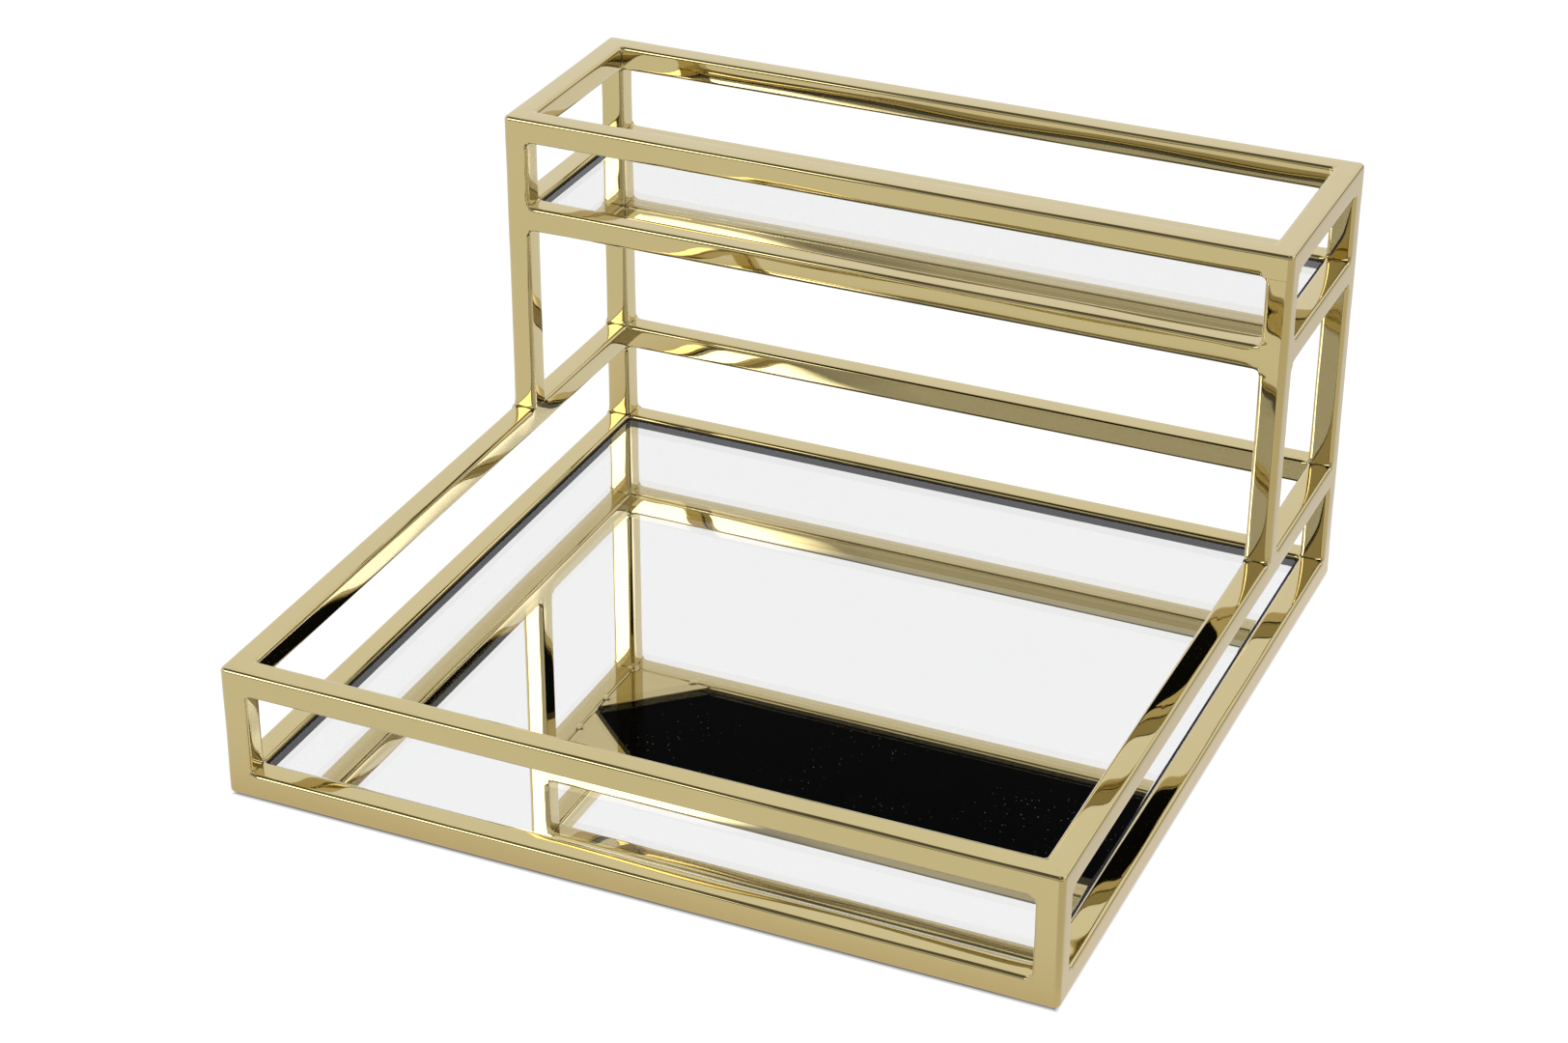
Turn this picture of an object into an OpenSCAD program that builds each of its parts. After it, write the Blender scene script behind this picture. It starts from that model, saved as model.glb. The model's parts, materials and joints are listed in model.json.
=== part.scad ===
// Two-tier vanity tray: a welded frame of square metal tube that holds two mirror shelves.
// +Z is up, the front faces -Y, and the origin is on the table under the middle of the tray.

/* [Tray] */
// Overall width, left to right
tray_w = 300; // [240:1:420]
// Overall depth, front to back
tray_d = 300; // [220:1:420]
// Height of the tray's rim above the bottom of the frame
rim_h = 49.5; // [36:0.5:80]

/* [Raised shelf] */
// Depth of the raised shelf, front to back
shelf_d = 89; // [80:1:140]
// Height of the shelf rails' top faces above the bottom of the frame
shelf_h = 133; // [90:0.5:180]
// Height of the shelf's gallery above the bottom of the frame
gallery_h = 168; // [125:0.5:230]

/* [Tube] */
// Outer size of the square tube
tube = 9.5; // [8:0.5:12]
// Wall thickness of the tube
wall = 1.0; // [0.6:0.1:1.5]
// Radius of the tube's long edges
edge_r = 0.8; // [0.4:0.1:1.2]

/* [Mirrors] */
// Thickness of the mirror glass
glass_t = 4.0; // [3:0.5:4]
// Thickness of the black backing board
board_t = 2.5; // [1.5:0.5:2.5]
// Gap all round between a mirror and its frame
mirror_gap = 0.5; // [0.2:0.1:1]

/* [Gussets and feet] */
// Thickness of the corner gusset plates
gusset_t = 1.5; // [1:0.1:1.5]
// Leg of a gusset along the front and back rails
gusset_x = 36; // [24:1:45]
// Leg of a gusset along the side rails
gusset_y = 33; // [18:1:33]
// Diameter of the foot pads
pad_dia = 10; // [6:1:12]
// Thickness of the foot pads
pad_t = 1.0; // [0.5:0.1:2]

/* [Hidden] */
$fn = 48;
gold = "goldenrod";
half_w = tray_w / 2;
half_d = tray_d / 2;
inner_w = tray_w - 2 * tube;
inner_d = tray_d - 2 * tube;
shelf_inner_d = shelf_d - 2 * tube;
// front face of the raised shelf
shelf_y = half_d - shelf_d;
// heights of the lower faces of each level of rails, above the table
base_z = pad_t;
rim_z = pad_t + rim_h - tube;
shelf_z = pad_t + shelf_h - tube;
gallery_z = pad_t + gallery_h - tube;
// the foot pads sit this far in from the corner of the frame's opening
pad_inset = 9;

// Square with rounded corners, its lower left corner at the origin
module rounded_square(size, r) {
  translate([r, 0]) square([size - 2 * r, size]);
  translate([0, r]) square([size, size - 2 * r]);
  for (x = [r, size - r], y = [r, size - r]) translate([x, y]) circle(r);
}

// Section of the hollow tube
module tube_section() {
  difference() {
    rounded_square(tube, edge_r);
    translate([wall, wall]) square(tube - 2 * wall);
  }
}

// Tube that runs along +X from its corner
module tube_x(length) {
  rotate([90, 0, 90]) linear_extrude(length) tube_section();
}

// Tube that runs along +Y from its corner
module tube_y(length) {
  translate([0, length, 0]) rotate([90, 0, 0]) linear_extrude(length) tube_section();
}

// Front rail of a frame, mitred at both ends, its outer corner at the origin
module mitred_front(width) {
  outline = [[0, 0], [width, 0], [width - tube, tube], [tube, tube]];
  intersection() {
    tube_x(width);
    linear_extrude(tube) polygon(outline);
  }
}

// Left rail of a frame, mitred at the front, and at the back too if both is true
module mitred_left(depth, both) {
  back = both ? [tube, depth - tube] : [tube, depth];
  outline = [[0, 0], [tube, tube], back, [0, depth]];
  intersection() {
    tube_y(depth);
    linear_extrude(tube) polygon(outline);
  }
}

// Four mitred rails that close a rectangle, one at a time, at the given height
module frame_front(y, z) {
  color(gold) translate([-half_w, y, z]) mitred_front(tray_w);
}
module frame_back(z) {
  color(gold) translate([-half_w, half_d, z]) mirror([0, 1, 0]) mitred_front(tray_w);
}
module frame_left(y, z) {
  color(gold) translate([-half_w, y, z]) mitred_left(half_d - y, true);
}
module frame_right(y, z) {
  mirror([1, 0, 0]) frame_left(y, z);
}

// Upright between two heights, its corner at x, y
module post(x, y, from_z, to_z) {
  color(gold) translate([x, y, from_z]) linear_extrude(to_z - from_z) tube_section();
}

// Rail along X between two posts
module cross_rail(y, z) {
  color(gold) translate([-half_w + tube, y, z]) tube_x(inner_w);
}

// Base frame
module base_front_rail() { frame_front(-half_d, base_z); }
module base_back_rail() { frame_back(base_z); }
module base_left_rail() { frame_left(-half_d, base_z); }
module base_right_rail() { frame_right(-half_d, base_z); }

// Rim: mitred at the front, and its side rails stop at the back posts
module rim_front_rail() { frame_front(-half_d, rim_z); }
module rim_left_rail() {
  color(gold) translate([-half_w, -half_d, rim_z]) mitred_left(tray_d - tube, false);
}
module rim_right_rail() { mirror([1, 0, 0]) rim_left_rail(); }
module rim_back_rail() { cross_rail(half_d - tube, rim_z); }

// Posts: short ones at the front, tall ones at the back, and two that stand on the rim
module front_left_post() { post(-half_w, -half_d, base_z + tube, rim_z); }
module front_right_post() { post(half_w - tube, -half_d, base_z + tube, rim_z); }
module back_left_post() { post(-half_w, half_d - tube, base_z + tube, gallery_z); }
module back_right_post() { post(half_w - tube, half_d - tube, base_z + tube, gallery_z); }
module shelf_left_post() { post(-half_w, shelf_y, rim_z + tube, gallery_z); }
module shelf_right_post() { post(half_w - tube, shelf_y, rim_z + tube, gallery_z); }

// Shelf rails, all of them between the posts
module shelf_front_rail() { cross_rail(shelf_y, shelf_z); }
module shelf_back_rail() { cross_rail(half_d - tube, shelf_z); }
module shelf_left_rail() {
  color(gold) translate([-half_w, shelf_y + tube, shelf_z]) tube_y(shelf_inner_d);
}
module shelf_right_rail() { mirror([1, 0, 0]) shelf_left_rail(); }

// Gallery frame round the top
module gallery_front_rail() { frame_front(shelf_y, gallery_z); }
module gallery_back_rail() { frame_back(gallery_z); }
module gallery_left_rail() { frame_left(shelf_y, gallery_z); }
module gallery_right_rail() { frame_right(shelf_y, gallery_z); }

// Flat panel inside a frame opening that starts at y and is depth deep
module panel(y, depth, z, thickness) {
  translate([-inner_w / 2 + mirror_gap, y + mirror_gap, z])
    cube([inner_w - 2 * mirror_gap, depth - 2 * mirror_gap, thickness]);
}

// Mirrors and the black boards behind them, which rest on the gussets
module tray_mirror() {
  color("whitesmoke") panel(-inner_d / 2, inner_d, base_z + gusset_t + board_t, glass_t);
}
module tray_backing() {
  color("black") panel(-inner_d / 2, inner_d, base_z + gusset_t, board_t);
}
module shelf_mirror() {
  color("whitesmoke") panel(shelf_y + tube, shelf_inner_d, shelf_z + gusset_t + board_t, glass_t);
}
module shelf_backing() {
  color("black") panel(shelf_y + tube, shelf_inner_d, shelf_z + gusset_t, board_t);
}

// Triangular plate whose right angle is at the front left corner of an opening
module gusset(y, z) {
  color(gold) translate([-inner_w / 2, y, z])
    linear_extrude(gusset_t) polygon([[0, 0], [gusset_x, 0], [0, gusset_y]]);
}
module gusset_back(z) {
  translate([0, half_d - tube, z]) mirror([0, 1, 0]) gusset(0, 0);
}
module tray_gusset_front_left() { gusset(-inner_d / 2, base_z); }
module tray_gusset_front_right() { mirror([1, 0, 0]) tray_gusset_front_left(); }
module tray_gusset_back_left() { gusset_back(base_z); }
module tray_gusset_back_right() { mirror([1, 0, 0]) tray_gusset_back_left(); }
module shelf_gusset_front_left() { gusset(shelf_y + tube, shelf_z); }
module shelf_gusset_front_right() { mirror([1, 0, 0]) shelf_gusset_front_left(); }
module shelf_gusset_back_left() { gusset_back(shelf_z); }
module shelf_gusset_back_right() { mirror([1, 0, 0]) shelf_gusset_back_left(); }

// Soft pads under the four lower gussets
module foot_pad(side_x, side_y) {
  x = side_x * (inner_w / 2 - pad_inset);
  y = side_y * (inner_d / 2 - pad_inset);
  color("dimgray") translate([x, y, 0]) cylinder(h = pad_t, d = pad_dia);
}
module foot_pad_front_left() { foot_pad(-1, -1); }
module foot_pad_front_right() { foot_pad(1, -1); }
module foot_pad_back_left() { foot_pad(-1, 1); }
module foot_pad_back_right() { foot_pad(1, 1); }

base_front_rail();
base_back_rail();
base_left_rail();
base_right_rail();
rim_front_rail();
rim_left_rail();
rim_right_rail();
rim_back_rail();
front_left_post();
front_right_post();
back_left_post();
back_right_post();
shelf_left_post();
shelf_right_post();
shelf_front_rail();
shelf_back_rail();
shelf_left_rail();
shelf_right_rail();
gallery_front_rail();
gallery_back_rail();
gallery_left_rail();
gallery_right_rail();
tray_mirror();
tray_backing();
shelf_mirror();
shelf_backing();
tray_gusset_front_left();
tray_gusset_front_right();
tray_gusset_back_left();
tray_gusset_back_right();
shelf_gusset_front_left();
shelf_gusset_front_right();
shelf_gusset_back_left();
shelf_gusset_back_right();
foot_pad_front_left();
foot_pad_front_right();
foot_pad_back_left();
foot_pad_back_right();
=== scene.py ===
"""Looks of a two-tier vanity tray: polished gold square tube, two mirrors and their black boards.

Every length is in metres unless a name says otherwise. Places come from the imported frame.
"""

from __future__ import annotations

import json
import logging
import math
from dataclasses import dataclass, field
from enum import Enum, IntEnum
from typing import Any

import bpy
import numpy as np
from mathutils import Matrix, Vector


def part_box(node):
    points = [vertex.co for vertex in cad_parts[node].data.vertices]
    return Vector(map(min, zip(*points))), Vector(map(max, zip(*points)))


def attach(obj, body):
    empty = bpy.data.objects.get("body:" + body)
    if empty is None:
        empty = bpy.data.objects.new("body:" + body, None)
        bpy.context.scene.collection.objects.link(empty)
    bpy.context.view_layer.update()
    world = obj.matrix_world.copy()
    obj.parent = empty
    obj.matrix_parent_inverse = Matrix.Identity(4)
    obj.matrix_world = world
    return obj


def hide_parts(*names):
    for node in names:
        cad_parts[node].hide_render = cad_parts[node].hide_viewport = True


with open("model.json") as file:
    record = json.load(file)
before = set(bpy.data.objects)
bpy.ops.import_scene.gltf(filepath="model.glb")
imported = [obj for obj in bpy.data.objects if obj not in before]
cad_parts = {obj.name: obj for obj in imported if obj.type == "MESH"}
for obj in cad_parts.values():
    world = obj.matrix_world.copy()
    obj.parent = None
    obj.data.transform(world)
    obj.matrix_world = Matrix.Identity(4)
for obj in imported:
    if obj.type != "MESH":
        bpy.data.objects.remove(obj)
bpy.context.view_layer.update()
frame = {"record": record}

logging.basicConfig(level=logging.INFO, format="%(levelname)s %(name)s: %(message)s")
log = logging.getLogger("vanity_tray")

MM = 0.001
BODY = "root"
TOUCH = 1e-5  # lengths that differ by less are equal
BEVEL_RINGS = 5  # rings of a softened edge
FACE_RING = 2.2  # a plate's innermost rings, in bevels from its outline
CORNERS = (("front", "left"), ("front", "right"), ("back", "left"), ("back", "right"))
Colour = tuple[float, float, float]
BLACK: Colour = (0.0, 0.0, 0.0)
WHITE: Colour = (1.0, 1.0, 1.0)


class EndKind(Enum):
    """How a tube ends against its neighbours."""

    MITRE = "mitre"
    BUTT = "butt"


# ---------------------------------------------------------------- shader maths


class Wire:
    """A number that runs through a node tree, so that maths on it reads as Python."""

    def __init__(self, graph: "Graph", socket: bpy.types.NodeSocket | None) -> None:
        """Keeps the tree and the output socket that carries the number."""
        self.graph = graph
        self.socket = socket

    def __add__(self, other: Any) -> "Wire":
        """Sum."""
        return self.graph.maths("ADD", self, other)

    def __radd__(self, other: Any) -> "Wire":
        """Sum, from the right."""
        return self.graph.maths("ADD", other, self)

    def __sub__(self, other: Any) -> "Wire":
        """Difference."""
        return self.graph.maths("SUBTRACT", self, other)

    def __rsub__(self, other: Any) -> "Wire":
        """Difference, from the right."""
        return self.graph.maths("SUBTRACT", other, self)

    def __mul__(self, other: Any) -> "Wire":
        """Product."""
        return self.graph.maths("MULTIPLY", self, other)

    def __rmul__(self, other: Any) -> "Wire":
        """Product, from the right."""
        return self.graph.maths("MULTIPLY", other, self)

    def __truediv__(self, other: float) -> "Wire":
        """Quotient by a plain number."""
        return self * (1.0 / other)

    def size(self) -> "Wire":
        """The number without its sign."""
        return self.graph.maths("ABSOLUTE", self)

    def clamp(self, low: float = 0.0, high: float = 1.0) -> "Wire":
        """Limits the number to a range."""
        return self.graph.maths("MINIMUM", self.graph.maths("MAXIMUM", self, low), high)


class Graph:
    """A node tree being written, for a material or the world."""

    def __init__(self, tree: bpy.types.NodeTree) -> None:
        """Empties the tree, so that it holds only what is written here."""
        self.tree = tree
        tree.nodes.clear()

    def node(
        self,
        kind: str,
        settings: dict[str, Any] | None = None,
        sockets: dict[Any, Any] | None = None,
        out: Any = 0,
    ) -> Wire:
        """Adds one node.

        Args:
            kind: The node's type.
            settings: Its properties, set first.
            sockets: Values or wires for its inputs, by name or number.
            out: The output that the result carries.

        Returns:
            The wire from that output, or from none if the node has no outputs.
        """
        made = self.tree.nodes.new(kind)
        for key, value in (settings or {}).items():
            setattr(made, key, value)
        for key, value in (sockets or {}).items():
            if isinstance(value, Wire):
                self.tree.links.new(value.socket, made.inputs[key])
            else:
                made.inputs[key].default_value = value
        return Wire(self, made.outputs[out] if len(made.outputs) else None)

    def maths(self, operation: str, *values: Any) -> Wire:
        """Adds a Math node with these numbers or wires on its sockets."""
        return self.node("ShaderNodeMath", {"operation": operation}, dict(enumerate(values)))

    def mix(self, factor: Any, low: Any, high: Any) -> Wire:
        """Blends two colours, each a wire or a Colour, by a factor from 0 to 1."""
        ends = [one if isinstance(one, Wire) else (*one, 1.0) for one in (low, high)]
        return self.node(
            "ShaderNodeMix", {"data_type": "RGBA"}, {0: factor, 6: ends[0], 7: ends[1]}, out=2
        )

    def place(self) -> Wire:
        """The point in the piece's own space, which is the frame's."""
        return self.node("ShaderNodeTexCoord", out="Object")

    def axes(self, vector: Wire, names: str) -> list[Wire]:
        """The parts of a vector along the axes that are named, such as XY."""
        return [self.node("ShaderNodeSeparateXYZ", {}, {0: vector}, out=name) for name in names]

    def noise(self, scale: float, detail: float = 2.0) -> Wire:
        """Smooth noise from 0 to 1, with a scale in cells per metre."""
        sockets = {"Vector": self.place(), "Scale": scale, "Detail": detail}
        return self.node("ShaderNodeTexNoise", {}, sockets)

    def scatter(self, spacing: float) -> Wire:
        """Distance from the nearest of many scattered points, as a share of their spacing."""
        sockets = {"Vector": self.place(), "Scale": 1.0 / spacing}
        return self.node("ShaderNodeTexVoronoi", {}, sockets)

    def bump(self, strength: float, depth: float, height: Wire) -> Wire:
        """The normal of a relief, whose height of 1 stands for the depth."""
        sockets = {"Strength": strength, "Distance": depth, "Height": height}
        return self.node("ShaderNodeBump", {}, sockets)


# ---------------------------------------------------------------- finishes
# Scales of noise are in cells per metre.


@dataclass(frozen=True)
class Finish:
    """A material, whose kind says what its shader's inputs are."""

    name: str = "finish"

    def inputs(self, graph: Graph) -> dict[str, Any]:
        """Inputs of the Principled shader, by name."""
        raise NotImplementedError(self.name)

    def build(self) -> bpy.types.Material:
        """Makes the material.

        Returns:
            The material, with one Principled shader.
        """
        material = bpy.data.materials.new(self.name)
        material.use_nodes = True
        graph = Graph(material.node_tree)
        shader = graph.node("ShaderNodeBsdfPrincipled", {}, self.inputs(graph))
        graph.node("ShaderNodeOutputMaterial", {}, {"Surface": shader})
        return material


@dataclass(frozen=True)
class PolishedGold(Finish):
    """Mirror-polished gold plate under clear lacquer, with darkened lines in its joints."""

    name: str = "polished_gold"
    pale: Colour = (0.615, 0.500, 0.215)
    deep: Colour = (0.590, 0.475, 0.195)
    joint_dark: Colour = (0.050, 0.034, 0.014)
    tone_scale: float = 35.0
    tone_detail: float = 3.0
    wipe_scale: float = 420.0
    wipe_detail: float = 4.0
    wipe_height: float = 0.06
    roughness: float = 0.018
    haze: float = 0.030
    joint_roughness: float = 0.35
    worn_scale: float = 24.0
    worn_level: float = 0.50
    worn_slope: float = 8.0
    pit_spacing: float = 5.0 * MM
    pit_radius: float = 0.22 * MM
    pit_roughness: float = 0.25
    bump_strength: float = 0.25
    bump_depth: float = 0.02 * MM
    coat_ior: float = 1.5
    coat_roughness: float = 0.02
    joint_bare: float = 0.97

    def inputs(self, graph: Graph) -> dict[str, Any]:
        """Describes the metal.

        Its tone drifts over centimetres under a fine wiping haze. There are a few pits where
        a broad noise rises over the worn level, and the attribute joint darkens the joints.

        Args:
            graph: The material's node tree.

        Returns:
            The shader's inputs.
        """
        tone = graph.noise(self.tone_scale, self.tone_detail)
        wipe = graph.noise(self.wipe_scale, self.wipe_detail)
        gold = graph.mix(tone, self.deep, self.pale)
        apart = graph.scatter(self.pit_spacing)
        worn = ((graph.noise(self.worn_scale) - self.worn_level) * self.worn_slope).clamp()
        pit = (1.0 - apart * (self.pit_spacing / self.pit_radius)).clamp() * worn
        joint = graph.node("ShaderNodeAttribute", {"attribute_name": "joint"}, out="Fac")
        rough = self.roughness + wipe * tone * self.haze
        relief = wipe * self.wipe_height - pit
        return {
            "Base Color": graph.mix(joint, gold, self.joint_dark),
            "Metallic": 1.0,
            "Roughness": rough + joint * self.joint_roughness + pit * self.pit_roughness,
            "Normal": graph.bump(self.bump_strength, self.bump_depth, relief),
            "Coat Weight": 1.0 - joint * self.joint_bare,
            "Coat IOR": self.coat_ior,
            "Coat Roughness": self.coat_roughness,
        }


@dataclass(frozen=True)
class ClearGlass(Finish):
    """The clear face of a mirror's glass."""

    name: str = "mirror_face"
    tint: Colour = (0.996, 0.998, 0.997)
    tint_scale: float = 9.0
    ior: float = 1.52

    def inputs(self, graph: Graph) -> dict[str, Any]:
        """Describes clear refracting glass, with a trace of tint that comes and goes.

        Args:
            graph: The material's node tree.

        Returns:
            The shader's inputs.
        """
        tint = graph.mix(graph.noise(self.tint_scale), self.tint, WHITE)
        return {
            "Base Color": tint,
            "Roughness": 0.0,
            "IOR": self.ior,
            "Transmission Weight": 1.0,
        }


@dataclass(frozen=True)
class Silvering(Finish):
    """The silver coat on the back of the glass."""

    name: str = "mirror_silver"
    bright: Colour = (0.925, 0.925, 0.927)
    dull: Colour = (0.915, 0.915, 0.918)
    cloud_scale: float = 6.0
    cloud_detail: float = 3.0

    def inputs(self, graph: Graph) -> dict[str, Any]:
        """Bright neutral metal, with a very faint cloudiness."""
        colour = graph.mix(graph.noise(self.cloud_scale, self.cloud_detail), self.dull, self.bright)
        return {"Base Color": colour, "Metallic": 1.0, "Roughness": 0.0}


@dataclass(frozen=True)
class GroundEdge(Finish):
    """The ground, unpolished edge of a pane, which looks dark from inside the glass."""

    name: str = "ground_edge"
    dark: Colour = (0.022, 0.022, 0.026)
    light: Colour = (0.040, 0.041, 0.047)
    body: Colour = (0.010, 0.010, 0.012)
    grain_scale: float = 500.0
    roughness: float = 0.8

    def inputs(self, graph: Graph) -> dict[str, Any]:
        """Describes mottled dark grey, whose faint glow stands for light inside the pane.

        Args:
            graph: The material's node tree.

        Returns:
            The shader's inputs.
        """
        grain = graph.noise(self.grain_scale)
        return {
            "Base Color": graph.mix(grain, BLACK, self.body),
            "Roughness": self.roughness,
            "Specular IOR Level": 0.0,
            "Emission Color": graph.mix(grain, self.dark, self.light),
            "Emission Strength": 1.0,
        }


@dataclass(frozen=True)
class BlackBoard(Finish):
    """The gloss black board behind a mirror, with specks of dust."""

    name: str = "gloss_black_board"
    black: Colour = (0.0014, 0.0014, 0.0016)
    dust: Colour = (0.60, 0.60, 0.60)
    speck_spacing: float = 2.4 * MM
    speck_radius: float = 0.25 * MM
    speck_slope: float = 1.6
    patch_scale: float = 22.0
    patch_detail: float = 4.0
    patch_level: float = 0.49
    patch_slope: float = 10.0
    roughness: float = 0.10
    speck_roughness: float = 0.5
    patch_roughness: float = 0.04
    ior: float = 1.45
    gloss: float = 0.01

    def inputs(self, graph: Graph) -> dict[str, Any]:
        """Describes gloss black with dust on it.

        There is a speck at each scattered point that lies in a dusty patch, which is where a
        broad noise rises over the patch level.

        Args:
            graph: The material's node tree.

        Returns:
            The shader's inputs.
        """
        apart = graph.scatter(self.speck_spacing)
        patch = graph.noise(self.patch_scale, self.patch_detail)
        fall = self.speck_slope * self.speck_spacing / self.speck_radius
        grain = (self.speck_slope - apart * fall).clamp()
        speck = grain * ((patch - self.patch_level) * self.patch_slope).clamp()
        rough = self.roughness + speck * self.speck_roughness + patch * self.patch_roughness
        return {
            "Base Color": graph.mix(speck, self.black, self.dust),
            "Roughness": rough,
            "IOR": self.ior,
            "Specular IOR Level": self.gloss,
        }


@dataclass(frozen=True)
class FootRubber(Finish):
    """Dark soft rubber of the foot pads."""

    name: str = "foot_rubber"
    dark: Colour = (0.020, 0.020, 0.021)
    light: Colour = (0.045, 0.045, 0.046)
    grain_scale: float = 2500.0
    grain_detail: float = 3.0
    bump_strength: float = 0.3
    bump_depth: float = 0.05 * MM
    roughness: float = 0.75

    def inputs(self, graph: Graph) -> dict[str, Any]:
        """Describes matt rubber with a fine grain.

        Args:
            graph: The material's node tree.

        Returns:
            The shader's inputs.
        """
        grain = graph.noise(self.grain_scale, self.grain_detail)
        return {
            "Base Color": graph.mix(grain, self.dark, self.light),
            "Roughness": self.roughness,
            "Normal": graph.bump(self.bump_strength, self.bump_depth, grain),
        }


@dataclass(frozen=True)
class PaleFloor(Finish):
    """The floor, which glows.

    It is dark under the frame, a painted shadow. Elsewhere the camera sees it as white, and the
    frame reflects it less bright, with painted shade close to the frame, warmed by painted light
    off the gold, and painted shade that dims it to the frame's right.
    """

    name: str = "pale_floor"
    albedo: float = 0.06
    drift: float = 0.01
    drift_scale: float = 3.0
    roughness: float = 0.9
    seen: float = 1.04
    mirrored: float = 0.84
    # painted shade near the frame, warmed by painted light off the gold, in the floor that the
    # frame reflects
    painted_near_shade: Colour = (0.89, 0.81, 0.70)
    near_shade_reach: float = 45.0 * MM
    # painted shade: the floor that the frame reflects dims towards the frame's right
    painted_right_shade: Colour = (0.79, 0.74, 0.64)
    right_shade_fade: float = 12.0 * MM
    # painted shadow under the frame: the glow falls to the under level inside the footprint
    shade_start: float = 2.5 * MM
    shade_width: float = 2.2 * MM
    under: float = 0.06

    def inputs(self, graph: Graph) -> dict[str, Any]:
        """Describes the glow.

        A point's distance outside the frame is the larger of its x and y without their signs,
        less half the frame's width. The painted shadow under the frame and the painted shade near
        it are ramps of that distance, the latter squared, and the painted shade to the right is a
        ramp of x alone.

        Args:
            graph: The material's node tree.

        Returns:
            The shader's inputs.
        """
        frame_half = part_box("base_front_rail")[1].x
        pale = self.albedo + self.drift
        x, y = graph.axes(graph.place(), "XY")
        outside = graph.maths("MAXIMUM", x.size(), y.size()) - frame_half
        # painted shadow: the glow darkens inside the frame's footprint
        lit = ((outside + self.shade_start) / self.shade_width).clamp(low=self.under)
        # painted shade near the frame and to its right, in the floor that the frame reflects
        near = 1.0 - (outside / self.near_shade_reach).clamp()
        right = ((x - frame_half) / self.right_shade_fade).clamp()
        share = self.mirrored / self.seen
        tints = (WHITE, self.painted_right_shade, self.painted_near_shade)
        even, shaded_right, shaded_near = (tuple(share * part for part in tint) for tint in tints)
        mirrored = graph.mix(near * near, graph.mix(right, even, shaded_right), shaded_near)
        to_camera = graph.node("ShaderNodeLightPath", out="Is Camera Ray")
        return {
            "Base Color": graph.mix(graph.noise(self.drift_scale), (self.albedo,) * 3, (pale,) * 3),
            "Roughness": self.roughness,
            "Specular IOR Level": 0.0,
            "Emission Color": graph.mix(lit, BLACK, graph.mix(to_camera, mirrored, WHITE)),
            "Emission Strength": self.seen,
        }


# ---------------------------------------------------------------- meshes


@dataclass
class Shell:
    """A closed mesh in the making: a grid of rings that is capped at both ends."""

    points: np.ndarray
    joint: np.ndarray | None = None
    side_slots: np.ndarray | None = None
    cap_slots: tuple[int, int] = (0, 0)
    crisp_caps: bool = True

    def add(self, name: str, materials: list[bpy.types.Material]) -> bpy.types.Object:
        """Puts the shell into the scene.

        Ring i, point j is vertex i * m + j; quads join neighbours, round the ring and along
        it, and one flat polygon closes each end.

        Args:
            name: The piece's name.
            materials: Its materials, in slot order.

        Returns:
            The new object, at the origin.
        """
        rings, around, _ = self.points.shape
        index = np.arange(rings * around).reshape(rings, around)
        nxt = np.roll(index, -1, axis=1)
        quads = np.stack([index[:-1], nxt[:-1], nxt[1:], index[1:]], axis=-1).reshape(-1, 4)
        mesh = bpy.data.meshes.new(name)
        caps = [index[0][::-1], index[-1]]
        loops = np.concatenate([quads.ravel(), *caps]).astype(np.int32)
        sizes = np.concatenate([np.full(len(quads), 4), [around, around]]).astype(np.int32)
        mesh.vertices.add(rings * around)
        mesh.vertices.foreach_set("co", self.points.reshape(-1).astype(np.float32))
        mesh.loops.add(len(loops))
        mesh.loops.foreach_set("vertex_index", loops)
        mesh.polygons.add(len(sizes))
        starts = np.concatenate([[0], np.cumsum(sizes)[:-1]]).astype(np.int32)
        mesh.polygons.foreach_set("loop_start", starts)
        slots = np.zeros(len(sizes), np.int32)
        if self.side_slots is not None:
            slots[:-2] = np.repeat(self.side_slots, around)
        slots[-2:] = self.cap_slots
        mesh.polygons.foreach_set("material_index", slots)
        mesh.polygons.foreach_set("use_smooth", np.ones(len(sizes), bool))
        mesh.update(calc_edges=True)
        if self.joint is not None:
            layer = mesh.attributes.new("joint", "FLOAT", "POINT")
            layer.data.foreach_set("value", self.joint.reshape(-1).astype(np.float32))
        if self.crisp_caps:
            ends = np.empty(len(mesh.edges) * 2, np.int32)
            mesh.edges.foreach_get("vertices", ends)
            ring = ends.reshape(-1, 2) // around
            rim = (ring[:, 0] == ring[:, 1]) & ((ring[:, 0] == 0) | (ring[:, 0] == rings - 1))
            sharp = mesh.attributes.new("sharp_edge", "BOOLEAN", "EDGE")
            sharp.data.foreach_set("value", rim)
        mesh.validate()
        made = bpy.data.objects.new(name, mesh)
        bpy.context.scene.collection.objects.link(made)
        for material in materials:
            mesh.materials.append(material)
        return made


def settle(made: bpy.types.Object, slot: str, *nodes: str) -> None:
    """Makes a finished piece part of the model, and logs it.

    Args:
        made: The piece, which rides on the frame's body.
        slot: Its material slot; not used.
        nodes: The nodes that it stands for, if any.
    """
    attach(made, BODY)
    if nodes:
        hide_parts(*nodes)
    role = "stands for " + ", ".join(nodes) if nodes else "stands for no node"
    log.info("%s: %d vertices, %s", made.name, len(made.data.vertices), role)


def smooth_step(value: np.ndarray) -> np.ndarray:
    """Rises from 0 to 1 over the unit range as 3t^2 - 2t^3, and is flat outside it."""
    held = np.clip(value, 0.0, 1.0)
    return held * held * (3.0 - 2.0 * held)


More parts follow.
